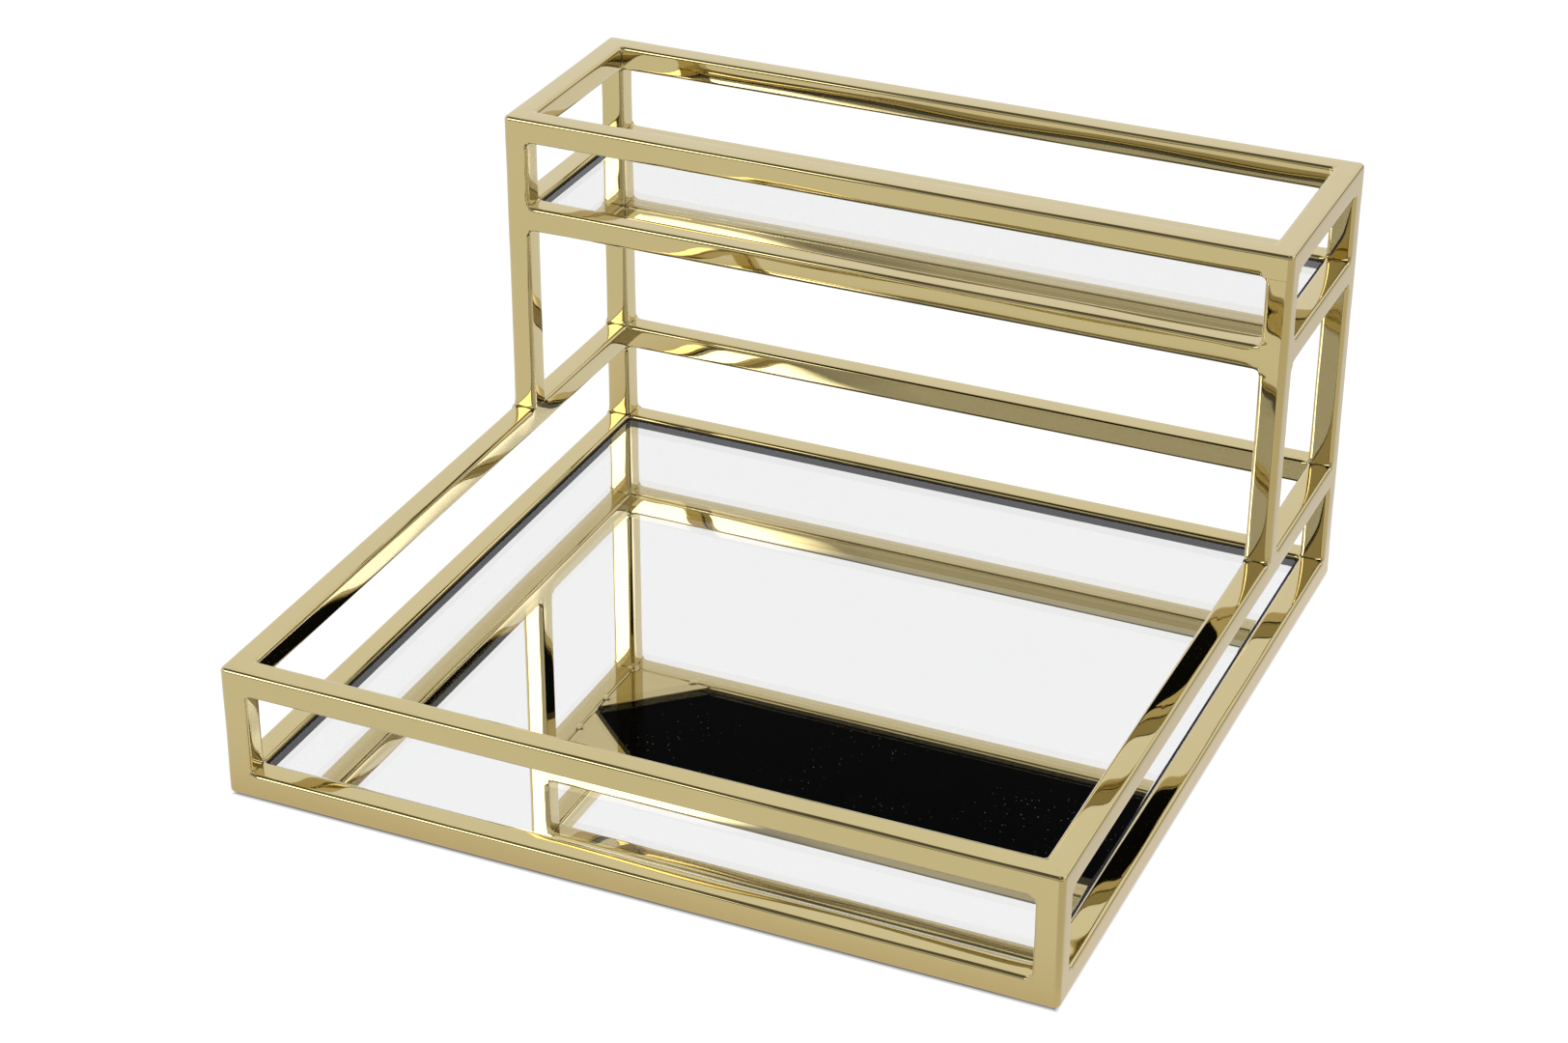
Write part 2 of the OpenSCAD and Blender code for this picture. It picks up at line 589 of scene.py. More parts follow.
def outline(corners: np.ndarray, radius: float, inset: float, steps: int = 6) -> np.ndarray:
    """Outline of a convex polygon with round corners.

    Each corner's circle is centred where the two edges, moved inwards by the radius, cross.
    The outline follows the arc of radius minus inset between the two edges' normals.

    Args:
        corners: The polygon's corners, anticlockwise, one row each.
        radius: The corners' radius.
        inset: How far inside the polygon the outline runs, at most the radius.
        steps: Segments in each corner.

    Returns:
        The points, one row each, anticlockwise.
    """
    along = np.roll(corners, -1, axis=0) - corners
    along /= np.linalg.norm(along, axis=1, keepdims=True)
    normal = np.stack([along[:, 1], -along[:, 0]], axis=1)
    before = np.roll(normal, 1, axis=0)
    share = 1.0 + np.sum(before * normal, axis=1, keepdims=True)
    centre = corners - radius * (before + normal) / share
    start = np.arctan2(before[:, 1], before[:, 0])
    turn = np.mod(np.arctan2(normal[:, 1], normal[:, 0]) - start, 2.0 * math.pi)
    angle = start[:, None] + turn[:, None] * np.linspace(0.0, 1.0, steps + 1)[None, :]
    arc = np.stack([np.cos(angle), np.sin(angle)], axis=-1) * (radius - inset)
    return (centre[:, None, :] + arc).reshape(-1, 2)


def plate(
    corners: np.ndarray, radius: float, low: float, high: float, bevel: float
) -> np.ndarray:
    """Rings of a flat plate with round corners and softened edges.

    The rings climb a quarter circle of the bevel's radius from the lower face, the straight
    side, and a quarter circle on to the upper face. The first and last lie in the faces, a
    few bevels in.

    Args:
        corners: The plate's outline, anticlockwise.
        radius: Radius of its corners in plan.
        low: Height of the lower face.
        high: Height of the upper face.
        bevel: Radius of the softened edges.

    Returns:
        The rings, from the lower face to the upper one.
    """
    angle = np.linspace(0.0, math.pi / 2.0, BEVEL_RINGS)
    inset = bevel * (1.0 - np.sin(angle))
    rise = bevel * (1.0 - np.cos(angle))
    inner = [FACE_RING * bevel]
    insets = np.concatenate([inner, inset, inset[::-1], inner])
    heights = np.concatenate([[low], low + rise, high - rise[::-1], [high]])
    flat = np.stack([outline(corners, radius, one) for one in insets])
    level = np.broadcast_to(heights[:, None, None], (*flat.shape[:2], 1))
    return np.concatenate([flat, level], axis=-1)


def rectangle(low: Vector, high: Vector) -> np.ndarray:
    """The four corners of a box in plan, anticlockwise."""
    return np.array([[low.x, low.y], [high.x, low.y], [high.x, high.y], [low.x, high.y]])


# ---------------------------------------------------------------- the tubes


@dataclass(frozen=True)
class Bar:
    """A tube's box in the frame."""

    node: str
    low: np.ndarray
    high: np.ndarray

    @property
    def axis(self) -> int:
        """The column that the tube runs along."""
        return int(np.argmax(self.high - self.low))

    def face(self, axis: int, sign: int) -> float:
        """Where the box's face on one side of an axis lies."""
        return float((self.high if sign > 0 else self.low)[axis])


@dataclass
class TubeEnd:
    """One end of a tube. side is 0 at the low end and 1 at the high end."""

    side: int
    kind: EndKind = EndKind.BUTT
    outer_axis: int = 0
    outer_sign: int = 0
    flush: frozenset[tuple[int, int]] = frozenset()


@dataclass
class SquareTube:
    """A square tube whose skin is a rounded square carried along its axis.

    The four long edges are round, except where a neighbour stands flush on them. A mitred end
    turns half a corner, round outside and filleted inside. A butted end flares into a small
    weld fillet on every face that isn't flush with its neighbour.

    A fillet is full at the frame's outer faces, and over the melt depth it falls to the tight
    share. Its joint's dark line fades at a rate as the fillet grows past tight. Starts of the
    bend and the seam are in half widths, and wave lengths in millimetres.
    """

    bar: Bar
    ends: tuple[TubeEnd, TubeEnd]
    footprints: list[tuple[int, int, float, float]]
    seed: int
    edge_radius: float = 1.5 * MM
    sharp_radius: float = 0.01 * MM
    corner_radius: float = 2.4 * MM
    fade: float = 2.2 * MM
    fillet: float = 1.7 * MM
    least_bend: float = 0.10 * MM
    bend_from: float = 1.2
    tight: float = 0.12
    melt: float = 4.0 * MM
    seam: float = 0.30 * MM
    seam_from: float = 1.9
    mitre_rate: float = 0.4
    butt_rate: float = 0.6
    crown: float = 0.05 * MM
    crown_fade: float = 6.0 * MM
    crown_power: int = 7
    wave: float = 0.03 * MM
    wave_lengths: tuple[float, float] = (55.0, 120.0)
    wave_floor: float = 2.5
    hollow: float = 0.5
    still: float = 4.0 * MM
    calm: float = 14.0 * MM
    end_zone: float = 4.0 * MM
    end_steps: int = 8
    arc_steps: int = 6
    samples: int = 4000
    dense_reach: float = 2.2 * MM
    fine_step: float = 0.22 * MM
    coarse_step: float = 2.4 * MM
    face_marks: tuple[float, ...] = (0.03, 0.10, 0.24, 0.42, 0.58, 0.76, 0.90, 0.97)
    corner_signs: np.ndarray = field(
        default_factory=lambda: np.array([[-1, -1], [1, -1], [1, 1], [-1, 1]], float)
    )

    def __post_init__(self) -> None:
        """Works out the section's axes and size."""
        self.run = self.bar.axis
        self.cross = ((self.run + 1) % 3, (self.run + 2) % 3)
        self.start = float(self.bar.low[self.run])
        self.stop = float(self.bar.high[self.run])
        self.half = float(self.bar.high[self.cross[0]] - self.bar.low[self.cross[0]]) / 2.0
        self.middle = (self.bar.low + self.bar.high) / 2.0

    def corner_faces(self, corner: int) -> tuple[tuple[int, int], tuple[int, int]]:
        """The two faces, as axis and sign, that meet at a corner of the section."""
        signs = self.corner_signs[corner]
        return (self.cross[0], int(signs[0])), (self.cross[1], int(signs[1]))

    def stations(self) -> np.ndarray:
        """Chooses places along the tube, close together near its ends and its neighbours.

        The density of places is a constant plus a bell round each mark, and equal steps of
        its running sum give the places.

        Returns:
            The places, in order.
        """
        width = 2.0 * self.half
        marks = [self.start, self.stop, self.start + width, self.stop - width]
        marks += [edge for _, _, low, high in self.footprints for edge in (low, high)]
        along = np.linspace(self.start, self.stop, self.samples)
        near = np.min(np.abs(along[:, None] - np.array(marks)[None, :]), axis=1)
        bell = np.exp(-((near / self.dense_reach) ** 2))
        density = 1.0 / self.coarse_step + bell / self.fine_step
        steps = (density[1:] + density[:-1]) / 2.0 * np.diff(along)
        total = np.concatenate([[0.0], np.cumsum(steps)])
        return np.interp(np.linspace(0.0, total[-1], int(total[-1]) + 2), total, along)

    def edge_radii(self, along: np.ndarray) -> np.ndarray:
        """Radius of each long edge at places along the tube.

        Args:
            along: Places, one column for each of the four edges.

        Returns:
            The radii, of the same shape: sharp inside a neighbour's footprint and at an end
            where one of the edge's faces is flush and the other isn't. A post's outer edge
            takes the radius of the mitred corner that it meets.
        """
        softness = np.ones_like(along)
        full = np.full(4, self.edge_radius)
        for corner in range(4):
            faces = self.corner_faces(corner)
            place = along[:, corner]
            for axis, sign, low, high in self.footprints:
                if (axis, sign) in faces:
                    away = np.maximum(low - place, place - high)
                    softness[:, corner] *= smooth_step(away / self.fade)
            for end in self.ends:
                if end.kind is EndKind.BUTT and sum(face in end.flush for face in faces) == 1:
                    limit = self.stop if end.side else self.start
                    softness[:, corner] *= smooth_step(np.abs(place - limit) / self.fade)
                if end.kind is EndKind.BUTT and all(face in end.flush for face in faces):
                    full[corner] = self.corner_radius
        return self.sharp_radius + (full - self.sharp_radius) * softness

    def section(self, radii: np.ndarray) -> tuple[np.ndarray, np.ndarray, np.ndarray]:
        """The rounded squares at all stations.

        Each corner is an arc about a centre one radius inside it, and the faces between are
        straight, with marks that crowd towards the corners.

        Args:
            radii: The four corner radii, one row for each station.

        Returns:
            The points (station, point, 2), their normals (point, 2), and how near each point
            is to the corners before and after it, from 0 to 1 (point, 4).
        """
        points, normals, weights = [], [], []
        marks = np.array(self.face_marks)
        centres = self.corner_signs[None] * (self.half - radii)[..., None]
        for corner in range(4):
            start = math.pi + corner * math.pi / 2.0
            angle = start + np.linspace(0.0, math.pi / 2.0, self.arc_steps + 1)
            ray = np.stack([np.cos(angle), np.sin(angle)], axis=-1)
            arc = centres[:, corner, None, :] + radii[:, corner, None, None] * ray[None]
            after = (corner + 1) % 4
            start_next = np.array([math.cos(angle[-1]), math.sin(angle[-1])])
            begin = arc[:, -1, :]
            finish = centres[:, after, :] + radii[:, after, None] * start_next
            face = begin[:, None, :] + (finish - begin)[:, None, :] * marks[None, :, None]
            points += [arc, face]
            normals += [ray, np.repeat(start_next[None], len(marks), axis=0)]
            near = np.zeros((self.arc_steps + 1 + len(marks), 4))
            near[: self.arc_steps + 1, corner] = 1.0
            near[self.arc_steps + 1 :, corner] = (1.0 - marks) ** self.crown_power
            near[self.arc_steps + 1 :, after] = marks**self.crown_power
            weights.append(near)
        return np.concatenate(points, axis=1), np.concatenate(normals), np.concatenate(weights)

    def polish(self, along: np.ndarray, normals: np.ndarray, slide: np.ndarray) -> np.ndarray:
        """How deep hand polishing has dished the skin, always inwards.

        Each face has a slow wave along it, a slow twist across it and a slow hollow, as sines
        of random phase. All die away near the ends and round the neighbours' footprints.

        Args:
            along: Place of every point along the tube.
            normals: Every point's normal in the section.
            slide: Every point's place across its face, from -1 to 1.

        Returns:
            The depth of every point.
        """
        random = np.random.default_rng(self.seed)
        calm = smooth_step((along - self.start - self.still) / self.calm)
        calm *= smooth_step((self.stop - along - self.still) / self.calm)
        for _, _, low, high in self.footprints:
            calm *= smooth_step(np.maximum(low - along, along - high) / self.calm)
        quarters = np.arctan2(normals[:, 1], normals[:, 0]) / (math.pi / 2.0)
        face = np.round(quarters).astype(int) % 4
        lengths = random.uniform(*self.wave_lengths, (3, 4)) * MM
        phases = random.uniform(0.0, 2.0 * math.pi, (3, 4))
        turns = 2.0 * math.pi * along[None] / lengths[:, face][:, None]
        waves = np.sin(turns + phases[:, face][:, None])
        bend = waves[0] + slide * waves[1] + self.hollow * slide**2 * waves[2]
        flat = np.abs(normals).max(axis=1) > 1.0 - TOUCH
        return self.wave * calm * (self.wave_floor + np.where(flat, bend, 0.0))

    def surface(self) -> tuple[np.ndarray, np.ndarray]:
        """The tube's skin.

        Returns:
            The rings of points, and the darkness of the joint at each.
        """
        nominal = self.stations()
        radii = self.edge_radii(self.sheared(nominal, self.corner_signs * self.half))
        cut, normals, nearness = self.section(radii)
        place = self.sheared(nominal, cut.mean(axis=0))
        roundness = (radii - self.sharp_radius) / (self.edge_radius - self.sharp_radius)
        softness = np.minimum(roundness, 1.0)
        span = smooth_step((place - self.start) / self.crown_fade)
        span = span * smooth_step((self.stop - place) / self.crown_fade)
        lowered = self.crown * span * np.einsum("sc,pc->sp", softness, nearness)
        tangents = np.stack([-normals[:, 1], normals[:, 0]], axis=-1)
        slide = np.sum(cut * tangents[None], axis=-1) / self.half
        lowered += self.polish(place, normals, slide)
        cut = cut - normals[None] * lowered[..., None]
        joint = np.zeros(place.shape)
        for end in self.ends:
            place, cut, joint = self.finish_end(end, place, cut, joint, normals)
        points = np.empty((*place.shape, 3))
        points[..., self.run] = place
        for column, axis in enumerate(self.cross):
            points[..., axis] = self.middle[axis] + cut[..., column]
        return points, joint

    def melted(self, depth: np.ndarray) -> np.ndarray:
        """Share of the full weld fillet at a depth behind the outer faces, from 1 to tight."""
        return 1.0 - (1.0 - self.tight) * smooth_step(depth / self.melt)

    def tightness(self, radius: np.ndarray, rate: float) -> np.ndarray:
        """1 where a fillet is tight, falling to 0 at this rate as it grows past that."""
        return smooth_step(1.0 + rate * (1.0 - radius / (self.tight * self.fillet)))

    def inward(self, end: TubeEnd, cut: np.ndarray) -> np.ndarray:
        """Distance of section points from the outer face of a mitred end."""
        column = self.cross.index(end.outer_axis)
        return self.half - end.outer_sign * cut[..., column]

    def towards_inner(self, inward: np.ndarray, start: float) -> np.ndarray:
        """Rises from 0 at start half widths from the outer face to 1 at the inner face."""
        return smooth_step((inward / self.half - start) / (2.0 - start))

    def bend_radius(self, end: TubeEnd, cut: np.ndarray) -> np.ndarray:
        """Radius of a mitred corner.

        Outside, the arcs share one centre, so the radius falls with the distance. In the
        middle it is small. At the inner face it is the fillet's near the two outer faces
        beside it, and tight between them.

        Args:
            end: The mitred end.
            cut: Section points, each of which stands for a line along the tube.

        Returns:
            The radius of each line's bend.
        """
        inward = self.inward(end, cut)
        beside = self.half - np.abs(cut[..., 1 - self.cross.index(end.outer_axis)])
        inside = self.fillet * self.melted(beside) * self.towards_inner(inward, self.bend_from)
        return np.maximum(np.maximum(self.corner_radius - inward, inside), self.least_bend)

    def flare_radius(self, end: TubeEnd, cut: np.ndarray) -> np.ndarray:
        """Radius of the weld fillet of a butted end.

        Args:
            end: The butted end.
            cut: Section points, each of which stands for a line along the tube.

        Returns:
            The radius of each line's flare, by its depth behind the nearest flush face.
        """
        depth = np.full(cut.shape[:-1], self.half * 2.0)
        for axis, sign in end.flush:
            if axis in self.cross:
                depth = np.minimum(depth, self.half - sign * cut[..., self.cross.index(axis)])
        return self.fillet * self.melted(depth)

    def open_way(self, end: TubeEnd, normals: np.ndarray) -> np.ndarray:
        """Direction in which each point of a butted end may flare.

        Args:
            end: The butted end.
            normals: Every point's normal in the section.

        Returns:
            The normals, less their share towards the flush faces.
        """
        way = np.zeros_like(normals)
        for column, axis in enumerate(self.cross):
            for sign in (-1, 1):
                if (axis, sign) not in end.flush:
                    way[:, column] += sign * np.maximum(sign * normals[:, column], 0.0)
        return way

    def sheared(self, nominal: np.ndarray, cut: np.ndarray) -> np.ndarray:
        """Place of every point along the tube, before its ends are made.

        Near an end, the run from the end to a zone's far side is scaled so that it begins
        where this line's bend or flare ends.

        Args:
            nominal: Stations along the tube.
            cut: Section points.

        Returns:
            Places, one row for each station.
        """
        zone = 2.0 * self.half + self.fillet + self.end_zone
        zone = min(zone, (self.stop - self.start) / 2.0)
        place = nominal[:, None]
        for end, limit, sense in zip(self.ends, (self.start, self.stop), (1.0, -1.0)):
            if end.kind is EndKind.MITRE:
                begin = self.inward(end, cut) + self.bend_radius(end, cut)
            else:
                begin = self.flare_radius(end, cut)
            away = (sense * (nominal - limit))[:, None]
            scaled = begin[None] + away * (zone - begin[None]) / zone
            place = np.where(away < zone, limit + sense * scaled, place)
        return place

    def finish_end(
        self,
        end: TubeEnd,
        place: np.ndarray,
        cut: np.ndarray,
        joint: np.ndarray,
        normals: np.ndarray,
    ) -> tuple[np.ndarray, np.ndarray, np.ndarray]:
        """Adds the rings of one end.

        A mitre turns every line about its own centre by an eighth of a circle. A butt joint
        flares as a quarter circle until it lies flat on the neighbour. The joint's darkness
        is a bell round the neighbour's face, where the skin isn't flush and the fillet is
        tight.

        Args:
            end: The end to make.
            place: Places along the tube so far.
            cut: Section points so far.
            joint: Joint darkness so far.
            normals: The section's normals.

        Returns:
            The three arrays with the end's rings added.
        """
        base = cut[-1 if end.side else 0]
        turn = np.linspace(0.0, 1.0, self.end_steps + 1)[1:, None]
        sense = -1.0 if end.side else 1.0
        limit = self.stop if end.side else self.start
        if end.kind is EndKind.MITRE:
            angle = turn * math.pi / 4.0
            inward = self.inward(end, base)
            radius = self.bend_radius(end, base)
            new_place = limit + sense * (inward + radius - radius * np.sin(angle))
            new_cut = np.repeat(base[None], self.end_steps, axis=0)
            push = radius * (1.0 - np.cos(angle))
            new_cut[..., self.cross.index(end.outer_axis)] -= end.outer_sign * push
            dark = self.tightness(radius, self.mitre_rate)
            dark = dark * self.towards_inner(inward, self.seam_from)
            from_seam = (place - limit) * sense - inward[None]
        else:
            angle = turn * math.pi / 2.0
            radius = self.flare_radius(end, base)
            way = self.open_way(end, normals)
            new_place = limit + sense * radius * (1.0 - np.sin(angle))
            new_cut = base[None] + (radius * (1.0 - np.cos(angle)))[..., None] * way[None]
            dark = self.tightness(radius, self.butt_rate) * np.linalg.norm(way, axis=1)
            from_seam = place - limit
        joint = np.maximum(joint, np.exp(-((from_seam / self.seam) ** 2)) * dark[None])
        new_joint = np.repeat(dark[None], self.end_steps, axis=0)
        if end.side:
            parts = ((place, new_place), (cut, new_cut), (joint, new_joint))
        else:
            parts = ((new_place[::-1], place), (new_cut[::-1], cut), (new_joint[::-1], joint))
        return tuple(np.concatenate(pair, axis=0) for pair in parts)


@dataclass
class TubeFrame:
    """The welded frame: finds every joint from the tubes' boxes and skins every tube."""

    gold: bpy.types.Material
    slot: str = "gold_tube"

    def bars(self) -> list[Bar]:
        """The boxes of all nodes that take the tube's slot."""
        parts = [part for part in frame["record"]["subparts"] if part["material_slot"] == self.slot]
        return [Bar(part["node"], *map(np.array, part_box(part["node"]))) for part in parts]

    @staticmethod
    def stands_on(bar: Bar, other: Bar) -> list[tuple[int, int]]:
        """Finds the ends of one tube that butt on a side of another.

        Args:
            bar: The tube that may stand.
            other: The tube that it may stand on.

        Returns:
            Each such end, as 0 or 1, with the sign of the side.
        """
        run = bar.axis
        rest = [axis for axis in range(3) if axis != run]
        inside = all(
            bar.low[axis] > other.low[axis] - TOUCH and bar.high[axis] < other.high[axis] + TOUCH
            for axis in rest
        )
        if other.axis == run or not inside:
            return []
        pairs = ((0, 1), (1, -1))
        return [
            (side, sign)
            for side, sign in pairs
            if abs(bar.face(run, -sign) - other.face(run, sign)) < TOUCH
        ]

    @staticmethod
    def mitre(bar: Bar, other: Bar) -> TubeEnd | None:
        """Finds the mitred end that one tube makes with another.

        Args:
            bar: The tube whose end is wanted.
            other: The tube that may share a corner with it.

        Returns:
            The end, or none if they share no corner.
        """
        run, across = bar.axis, other.axis
        overlap = np.minimum(bar.high, other.high) - np.maximum(bar.low, other.low)
        if run == across or overlap.min() < TOUCH:
            return None
        side = 0 if abs(bar.low[run] - other.low[run]) < TOUCH else 1
        sign = -1 if abs(bar.low[across] - other.low[across]) < TOUCH else 1
        return TubeEnd(side, EndKind.MITRE, across, sign)

    def ends_of(self, bar: Bar, bars: list[Bar]) -> tuple[TubeEnd, TubeEnd]:
        """Works out both ends of a tube.

        A face is flush when it lies in the same plane as a face or an end of every tube that
        this end butts on.

        Args:
            bar: The tube.
            bars: All tubes of the frame.

        Returns:
            The low end and the high end, each mitred or butted, with its flush faces.
        """
        ends = []
        for side in (0, 1):
            mitres = [one for other in bars if (one := self.mitre(bar, other)) and one.side == side]
            if mitres:
                ends.append(mitres[0])
                continue
            flush = {(axis, sign) for axis in range(3) for sign in (-1, 1)}
            for other in bars:
                if any(found == side for found, _ in self.stands_on(bar, other)):
                    flush = {
                        one for one in flush if abs(bar.face(*one) - other.face(*one)) < TOUCH
                    }
            ends.append(TubeEnd(side, flush=frozenset(flush)))
        return ends[0], ends[1]

    def footprints_on(self, bar: Bar, bars: list[Bar]) -> list[tuple[int, int, float, float]]:
        """Finds where other tubes butt on the sides of one.

        Args:
            bar: The tube.
            bars: All tubes of the frame.

        Returns:
            The face's axis and sign, and the stretch along the tube, for each.
        """
        run = bar.axis
        return [
            (other.axis, sign, other.face(run, -1), other.face(run, 1))
            for other in bars
            for _, sign in self.stands_on(other, bar)
        ]

    def build(self) -> None:
        """Skins every tube and puts the skin in its node's place."""
        bars = self.bars()
        for seed, bar in enumerate(bars):
            tube = SquareTube(bar, self.ends_of(bar, bars), self.footprints_on(bar, bars), seed)
            points, joint = tube.surface()
            made = Shell(points, joint).add(bar.node + "_skin", [self.gold])
            settle(made, self.slot, bar.node)


# ---------------------------------------------------------------- decks and feet


@dataclass
class WeldTack:
    """A small polished bead of weld metal, half sunk in the joint that it closes."""

    name: str
    middle: Vector
    gold: bpy.types.Material
    seed: int = 0
    first_seed: int = 50
    radius: float = 1.9 * MM
    height: float = 0.75 * MM
    swells: tuple[tuple[float, float], ...] = ((2.0, 0.15), (3.0, 0.08))
    waist: float = 0.25
    rings: int = 15
    around: int = 24
    pole: float = 0.06
    slot: str = "gold_plate"

    def surface(self) -> np.ndarray:
        """Works out the bead, an ellipsoid whose radius swells as sines round it.

        Ring angle u runs from pole to pole and angle v round the bead. The radius is r sin(u)
        times 1 plus a sin(n v + p) for each swell, and the height is h cos(u).

        Returns:
            The rings, from the lower pole to the upper one.
        """
        random = np.random.default_rng(self.seed + self.first_seed)
        phases = random.uniform(0.0, 2.0 * math.pi, len(self.swells))
        u = np.linspace(math.pi - self.pole, self.pole, self.rings)[:, None]
        v = np.linspace(0.0, 2.0 * math.pi, self.around, endpoint=False)[None, :]
        swell = 1.0
        for (waves, share), phase in zip(self.swells, phases):
            swell = swell + share * np.sin(waves * v + phase)
        ring = self.radius * np.sin(u) * swell
        rise = np.broadcast_to(self.height * np.cos(u), ring.shape)
        return np.stack([ring * np.cos(v), ring * np.sin(v), rise], axis=-1) + np.array(self.middle)

    def build(self) -> None:
        """Makes the bead, its waist darkened where it meets the joint."""
        points = self.surface()
        rise = np.abs(points[..., 2] - self.middle.z) / self.height
        bead = Shell(points, np.exp(-((rise / self.waist) ** 2)), crisp_caps=False)
        settle(bead.add(self.name, [self.gold]), self.slot)


class PaneSide(IntEnum):
    """The sides of a mirror's glass, as they are numbered in its materials."""

    FACE = 0
    EDGE = 1
    BACK = 2


@dataclass
class Deck:
    """One mirror with its backing board and the gussets that carry them.

    A gusset has a tack near its right angle and one along each leg, at a share of the leg.
    """

    level: str
    gold: bpy.types.Material
    glass: list[bpy.types.Material]
    board: bpy.types.Material
    edge_bevel: float = 0.35 * MM
    glass_corner: float = 1.5 * MM
    film: float = 0.03 * MM
    gusset_corner: float = 0.8 * MM
    gusset_bevel: float = 0.25 * MM
    seam: float = 0.8 * MM
    tack_near: float = 0.02
    tack_far: float = 0.77
    tack_front: float = 0.60

    def build(self) -> None:
        """Makes the pane, the board and the four gussets."""
        low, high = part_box(f"{self.level}_mirror")
        corners = rectangle(low, high)
        rings = plate(corners, self.glass_corner, low.z + self.film, high.z, self.edge_bevel)
        edges = [PaneSide.EDGE] * (len(rings) - 3)
        sides = np.array([PaneSide.BACK, *edges, PaneSide.FACE])
        pane = Shell(rings, side_slots=sides, cap_slots=(PaneSide.BACK, PaneSide.FACE))
        made = pane.add(f"{self.level}_mirror_pane", self.glass)
        settle(made, "mirror_glass", f"{self.level}_mirror")
        low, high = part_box(f"{self.level}_backing")
        rings = plate(rectangle(low, high), self.glass_corner, low.z, high.z, self.edge_bevel)
        made = Shell(rings).add(f"{self.level}_backing_board", [self.board])
        settle(made, "black_board", f"{self.level}_backing")
        for row, column in CORNERS:
            self.gusset(row, column)

    def gusset(self, row: str, column: str) -> None:
        """Makes one triangular plate with its right angle in the corner of the frame.

        The joint's darkness is a bell of the distance from the nearer leg.

        Args:
            row: front or back.
            column: left or right.
        """
        node = f"{self.level}_gusset_{row}_{column}"
        low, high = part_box(node)
        x, x_far = (low.x, high.x) if column == "left" else (high.x, low.x)
        y, y_far = (low.y, high.y) if row == "front" else (high.y, low.y)
        corners = np.array([[x, y], [x_far, y], [x, y_far]])
        if (column == "left") != (row == "front"):
            corners = corners[::-1]
        rings = plate(corners, self.gusset_corner, low.z, high.z, self.gusset_bevel)
        near_legs = np.minimum(np.abs(rings[..., 0] - x), np.abs(rings[..., 1] - y))
        seam = np.exp(-((near_legs / self.seam) ** 2))
        seam[[0, -1]] = 0.0
        settle(Shell(rings, seam).add(node + "_plate", [self.gold]), "gold_plate", node)
        side_leg = self.tack_front if row == "front" else self.tack_far
        legs = ((self.tack_near, self.tack_near), (self.tack_far, 0.0), (0.0, side_leg))
        for number, (along_x, along_y) in enumerate(legs):
            spot = Vector((x + (x_far - x) * along_x, y + (y_far - y) * along_y, low.z))
            WeldTack(f"{node}_tack_{number}", spot, self.gold, seed=number).build()


@dataclass
class FootPad:
    """A round rubber pad with softened edges."""

    row: str
    column: str
    rubber: bpy.types.Material
    bevel: float = 0.25 * MM

    def build(self) -> None:
        """Makes the pad in its node's place."""
        node = f"foot_pad_{self.row}_{self.column}"
        low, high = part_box(node)
        radius = (high.x - low.x) / 2.0
        rings = plate(rectangle(low, high), radius, low.z, high.z, self.bevel)
        settle(Shell(rings).add(node + "_rubber", [self.rubber]), "foot_pad", node)


# ---------------------------------------------------------------- studio


class ZoneShape(Enum):
    """The outline of a part of the surround."""

    PANEL = "panel"
    DISC = "disc"


@dataclass(frozen=True)
class LightZone:
    """A part of the surround: its middle, its half size and its strength.

    Angles are in degrees. Azimuth is 0 towards the front and grows to the right. The slant
    moves a panel's sides by that many degrees of azimuth for each degree of height. A disc
    is round, or oval where its two half sizes differ.
    """

    azimuth: float
    elevation: float
    half_width: float
    half_height: float
    strength: float
    edge: float = 1.0
    slant: float = 0.0
    shape: ZoneShape = ZoneShape.PANEL


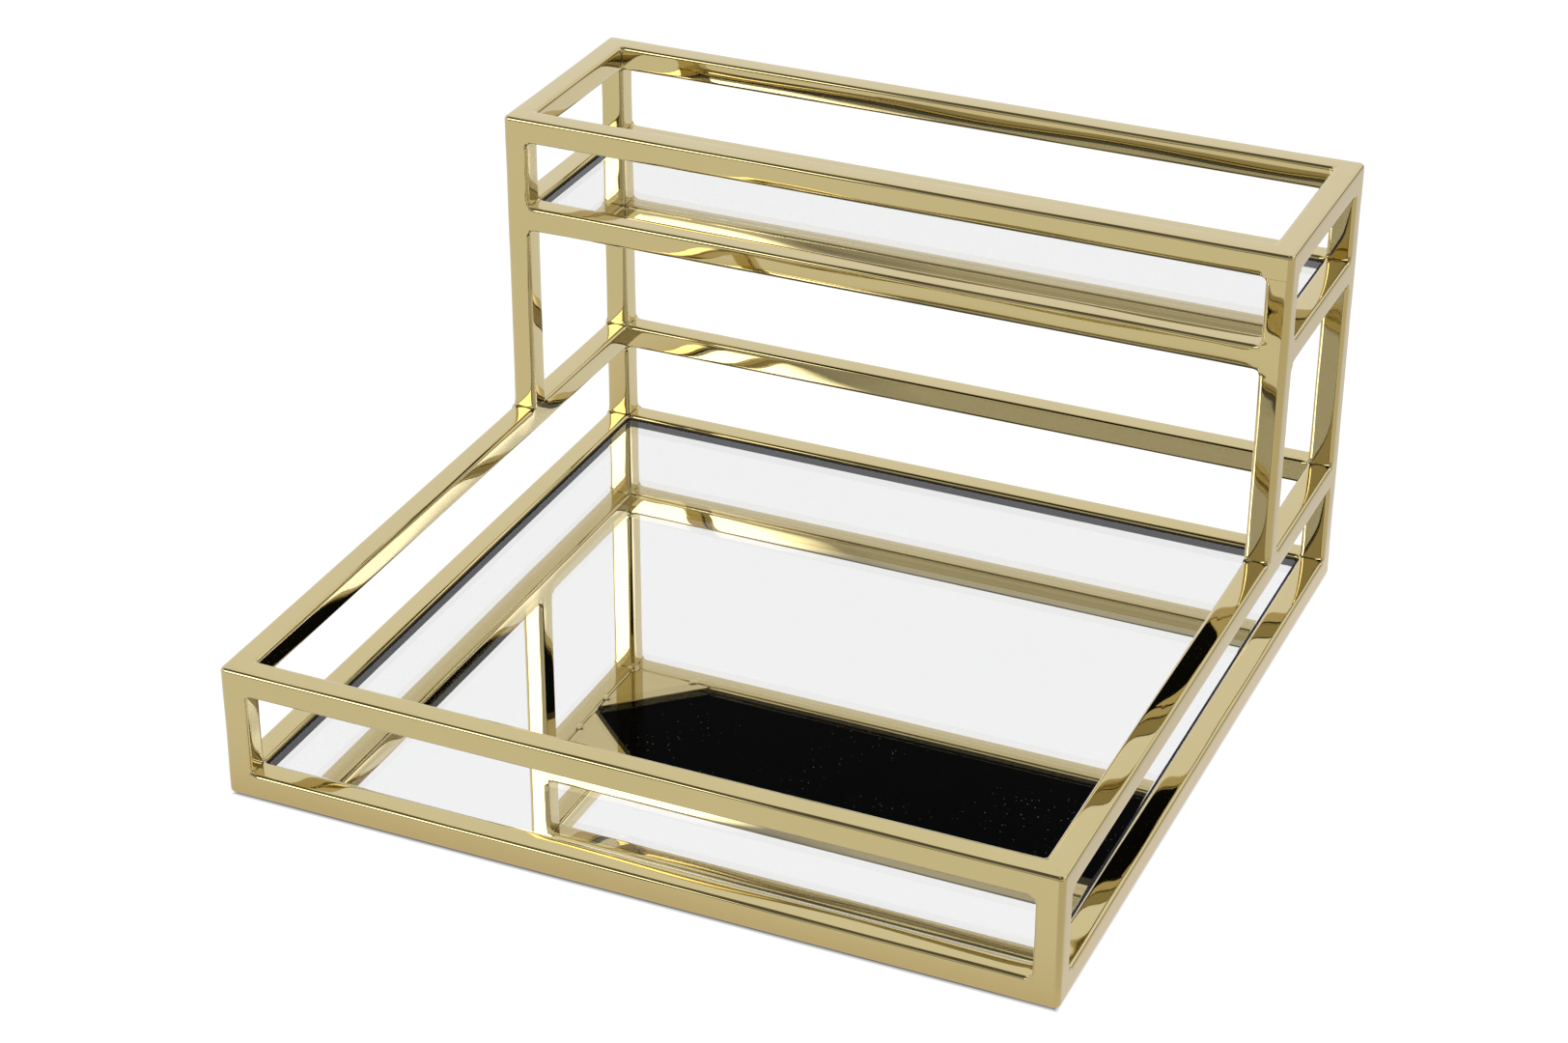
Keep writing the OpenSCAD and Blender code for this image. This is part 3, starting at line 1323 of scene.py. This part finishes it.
@dataclass
class Studio:
    """White sweep under a white surround, with the panels that the gold reflects.

    The surround is a dim room, and the zones are laid over it in turn: the sweep behind and
    to both sides, darker and brighter panels at the back right, the ceiling, a grey panel in
    front and a bright round lamp at the front left. The camera sees the backdrop instead.
    """

    floor_size: float = 12.0
    room: float = 0.12
    backdrop: float = 1.05
    zones: tuple[LightZone, ...] = (
        LightZone(180.0, 20.0, 80.0, 42.0, 0.96, edge=6.0),
        LightZone(-90.0, 12.0, 47.0, 28.0, 0.95, edge=5.0),
        LightZone(96.0, 12.0, 26.0, 28.0, 0.90, edge=6.0),
        LightZone(135.0, 6.0, 40.0, 8.0, 0.25, edge=3.0),
        LightZone(137.0, 27.5, 14.5, 5.0, 2.0, edge=2.5),
        LightZone(0.0, 90.0, 200.0, 11.0, 0.95, edge=2.0),
        LightZone(24.0, 24.0, 48.0, 18.0, 0.56, edge=3.0, slant=-0.15),
        LightZone(-34.0, 28.5, 11.5, 12.5, 4.2, edge=1.5, shape=ZoneShape.DISC),
    )

    def build(self) -> None:
        """Makes the floor and the world."""
        self.floor()
        self.world()
        bpy.context.scene.view_settings.view_transform = "Standard"

    def floor(self) -> None:
        """Makes the floor, a square in the plane that the tray stands on."""
        half = self.floor_size / 2.0
        mesh = bpy.data.meshes.new("floor")
        corners = [(-half, -half, 0.0), (half, -half, 0.0), (half, half, 0.0), (-half, half, 0.0)]
        mesh.from_pydata(corners, [], [(0, 1, 2, 3)])
        made = bpy.data.objects.new("floor", mesh)
        bpy.context.scene.collection.objects.link(made)
        mesh.materials.append(PaleFloor().build())

    def world(self) -> None:
        """Makes the surround.

        A direction's azimuth is the arc tangent of x over -y, and its elevation the arc sine
        of z. A panel's weight is the product of two ramps that fall from 1 to 0 at its sides
        and at its top and bottom, and a disc's is one such ramp at its rim.
        """
        world = bpy.data.worlds.new("studio")
        bpy.context.scene.world = world
        world.use_nodes = True
        graph = Graph(world.node_tree)
        degrees = math.degrees(1.0)
        x, y, z = graph.axes(graph.node("ShaderNodeTexCoord", out="Generated"), "XYZ")
        azimuth = graph.maths("ARCTAN2", x, 0.0 - y) * degrees
        elevation = graph.maths("ARCSINE", z) * degrees
        shade: Any = self.room
        for zone in self.zones:
            above = elevation - zone.elevation
            aside = azimuth - zone.azimuth - above * zone.slant
            across = graph.maths("WRAP", aside, 180.0, -180.0).size()
            if zone.shape is ZoneShape.DISC:
                wide, high = across / zone.half_width, above / zone.half_height
                reach = graph.maths("SQRT", wide * wide + high * high)
                weight = ((1.0 - reach) * (zone.half_width / zone.edge)).clamp()
            else:
                weight = ((zone.half_width - across) / zone.edge).clamp()
                weight = weight * ((zone.half_height - above.size()) / zone.edge).clamp()
            shade = weight * zone.strength + (1.0 - weight) * shade
        seen = graph.node("ShaderNodeLightPath", out="Is Camera Ray")
        brightest = max(zone.strength for zone in self.zones)
        share = (shade * (1.0 - seen) + seen * self.backdrop) / brightest
        tone = graph.mix(share, BLACK, WHITE)
        back = graph.node("ShaderNodeBackground", {}, {"Color": tone, "Strength": brightest})
        graph.node("ShaderNodeOutputWorld", {}, {"Surface": back})


@dataclass
class Viewpoint:
    """The camera: where it stands, which way it looks, and its lens.

    It looks azimuth degrees left of +Y and elevation degrees down. Lens and sensor are in
    millimetres.
    """

    place: tuple[float, float, float] = (0.4212, -0.9780, 0.6572)
    azimuth: float = 23.78
    elevation: float = 29.10
    roll: float = 0.23
    lens: float = 79.7
    sensor: float = 36.0
    nearest: float = 10.0 * MM

    def build(self) -> None:
        """Makes the camera and looks through it."""
        data = bpy.data.cameras.new("camera")
        data.lens = self.lens
        data.sensor_width = self.sensor
        data.clip_start = self.nearest
        made = bpy.data.objects.new("camera", data)
        turns = ((self.azimuth, "Z"), (90.0 - self.elevation, "X"), (self.roll, "Z"))
        stand = Matrix.Translation(self.place)
        for angle, axis in turns:
            stand = stand @ Matrix.Rotation(math.radians(angle), 4, axis)
        made.matrix_world = stand
        bpy.context.scene.collection.objects.link(made)
        bpy.context.scene.camera = made


def main() -> None:
    """Builds the camera, the tray and the studio."""
    Viewpoint().build()
    gold = PolishedGold().build()
    TubeFrame(gold).build()
    glass = [ClearGlass().build(), GroundEdge().build(), Silvering().build()]
    board = BlackBoard().build()
    for level in ("tray", "shelf"):
        Deck(level, gold, glass, board).build()
    rubber = FootRubber().build()
    for row, column in CORNERS:
        FootPad(row, column, rubber).build()
    Studio().build()


if __name__ == "__main__":
    main()
